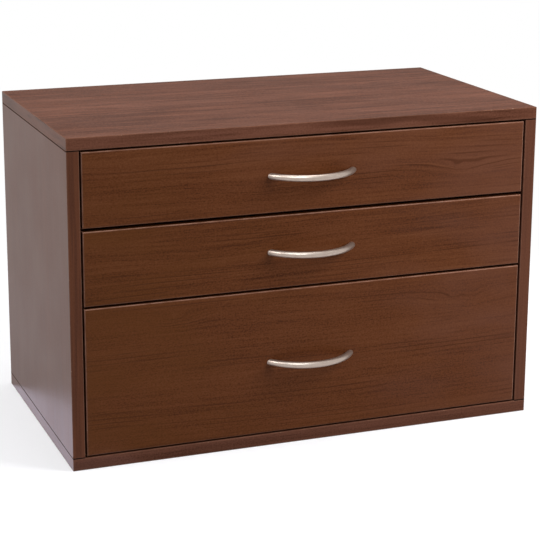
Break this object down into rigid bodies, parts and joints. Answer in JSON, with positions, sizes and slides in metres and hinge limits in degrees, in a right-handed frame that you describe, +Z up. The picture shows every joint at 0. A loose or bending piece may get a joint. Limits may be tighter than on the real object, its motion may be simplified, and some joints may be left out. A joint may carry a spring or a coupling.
{
  "type": "drawer cabinet",
  "caption": "Low wood-laminate cabinet for scrapbook paper: shallow drawers over a deep drawer, bow handles, inset fronts and roller runners.",
  "frame": {"origin": "middle of the cabinet's base, at floor level", "axes": "+X to the viewer's right along the fronts, the fronts face -Y, +Z up"},
  "size_m": [0.61, 0.3713, 0.406],
  "materials": {
    "cabinet_laminate": "dark cherry wood-grain laminate, satin",
    "front_laminate": "dark cherry wood-grain laminate with rounded front edges, satin",
    "drawer_box_foil": "plain dark foil on particle board",
    "hardboard": "thin brown hardboard",
    "rail_steel": "cream epoxy coat on pressed steel",
    "nylon": "white nylon",
    "zinc_steel": "bright zinc plate",
    "beech": "plain beech",
    "satin_nickel": "satin nickel plate"
  },
  "bodies": {
    "cabinet": {"top_panel": "cabinet_laminate", "bottom_panel": "cabinet_laminate", "left_side_panel": "cabinet_laminate", "right_side_panel": "cabinet_laminate", "back_panel": "hardboard", "back_panel_nails": "zinc_steel", "cam_locks": "zinc_steel", "cam_bolts": "zinc_steel", "wood_dowels": "beech", "bottom_panel_screws": "zinc_steel", "cabinet_rail_screws": "zinc_steel", "top_left_cabinet_rail": "rail_steel", "top_right_cabinet_rail": "rail_steel", "middle_left_cabinet_rail": "rail_steel", "middle_right_cabinet_rail": "rail_steel", "bottom_left_cabinet_rail": "rail_steel", "bottom_right_cabinet_rail": "rail_steel"},
    "top_drawer": {"top_drawer_front": "front_laminate", "top_drawer_left_side": "drawer_box_foil", "top_drawer_right_side": "drawer_box_foil", "top_drawer_back": "drawer_box_foil", "top_drawer_bottom": "hardboard", "top_handle": "satin_nickel", "top_handle_screws": "zinc_steel", "top_left_drawer_rail": "rail_steel", "top_right_drawer_rail": "rail_steel", "top_drawer_cam_fittings": "zinc_steel", "top_drawer_back_screws": "zinc_steel", "top_drawer_rail_screws": "zinc_steel"},
    "top_cabinet_rollers": {"top_cabinet_rollers": "nylon"},
    "top_drawer_rollers": {"top_drawer_rollers": "nylon"},
    "middle_drawer": {"middle_drawer_front": "front_laminate", "middle_drawer_left_side": "drawer_box_foil", "middle_drawer_right_side": "drawer_box_foil", "middle_drawer_back": "drawer_box_foil", "middle_drawer_bottom": "hardboard", "middle_handle": "satin_nickel", "middle_handle_screws": "zinc_steel", "middle_left_drawer_rail": "rail_steel", "middle_right_drawer_rail": "rail_steel", "middle_drawer_cam_fittings": "zinc_steel", "middle_drawer_back_screws": "zinc_steel", "middle_drawer_rail_screws": "zinc_steel"},
    "middle_cabinet_rollers": {"middle_cabinet_rollers": "nylon"},
    "middle_drawer_rollers": {"middle_drawer_rollers": "nylon"},
    "bottom_drawer": {"bottom_drawer_front": "front_laminate", "bottom_drawer_left_side": "drawer_box_foil", "bottom_drawer_right_side": "drawer_box_foil", "bottom_drawer_back": "drawer_box_foil", "bottom_drawer_bottom": "hardboard", "bottom_handle": "satin_nickel", "bottom_handle_screws": "zinc_steel", "bottom_left_drawer_rail": "rail_steel", "bottom_right_drawer_rail": "rail_steel", "bottom_drawer_cam_fittings": "zinc_steel", "bottom_drawer_back_screws": "zinc_steel", "bottom_drawer_rail_screws": "zinc_steel"},
    "bottom_cabinet_rollers": {"bottom_cabinet_rollers": "nylon"},
    "bottom_drawer_rollers": {"bottom_drawer_rollers": "nylon"}
  },
  "joints": [
    {"name": "top_drawer_slide", "type": "slide", "parent": "cabinet", "child": "top_drawer", "axis": [0, -1, 0], "range_m": [0, 0.225]},
    {"name": "top_cabinet_rollers_turn", "type": "hinge", "parent": "cabinet", "child": "top_cabinet_rollers", "pos_m": [0, -0.1417, 0.3185], "axis": [1, 0, 0], "range_deg": [0, 1433]},
    {"name": "top_drawer_rollers_turn", "type": "hinge", "parent": "top_drawer", "child": "top_drawer_rollers", "pos_m": [0, 0.1367, 0.318], "axis": [1, 0, 0], "range_deg": [0, 1433]},
    {"name": "middle_drawer_slide", "type": "slide", "parent": "cabinet", "child": "middle_drawer", "axis": [0, -1, 0], "range_m": [0, 0.225]},
    {"name": "middle_cabinet_rollers_turn", "type": "hinge", "parent": "cabinet", "child": "middle_cabinet_rollers", "pos_m": [0, -0.1417, 0.2237], "axis": [1, 0, 0], "range_deg": [0, 1433]},
    {"name": "middle_drawer_rollers_turn", "type": "hinge", "parent": "middle_drawer", "child": "middle_drawer_rollers", "pos_m": [0, 0.1367, 0.2232], "axis": [1, 0, 0], "range_deg": [0, 1433]},
    {"name": "bottom_drawer_slide", "type": "slide", "parent": "cabinet", "child": "bottom_drawer", "axis": [0, -1, 0], "range_m": [0, 0.225]},
    {"name": "bottom_cabinet_rollers_turn", "type": "hinge", "parent": "cabinet", "child": "bottom_cabinet_rollers", "pos_m": [0, -0.1417, 0.0378], "axis": [1, 0, 0], "range_deg": [0, 1433]},
    {"name": "bottom_drawer_rollers_turn", "type": "hinge", "parent": "bottom_drawer", "child": "bottom_drawer_rollers", "pos_m": [0, 0.1367, 0.0373], "axis": [1, 0, 0], "range_deg": [0, 1433]}
  ],
  "couplings": [
    {"joint": "top_cabinet_rollers_turn", "follows": "top_drawer_slide", "rad_per_m": 111.11},
    {"joint": "top_drawer_rollers_turn", "follows": "top_drawer_slide", "rad_per_m": 111.11},
    {"joint": "middle_cabinet_rollers_turn", "follows": "middle_drawer_slide", "rad_per_m": 111.11},
    {"joint": "middle_drawer_rollers_turn", "follows": "middle_drawer_slide", "rad_per_m": 111.11},
    {"joint": "bottom_cabinet_rollers_turn", "follows": "bottom_drawer_slide", "rad_per_m": 111.11},
    {"joint": "bottom_drawer_rollers_turn", "follows": "bottom_drawer_slide", "rad_per_m": 111.11}
  ]
}
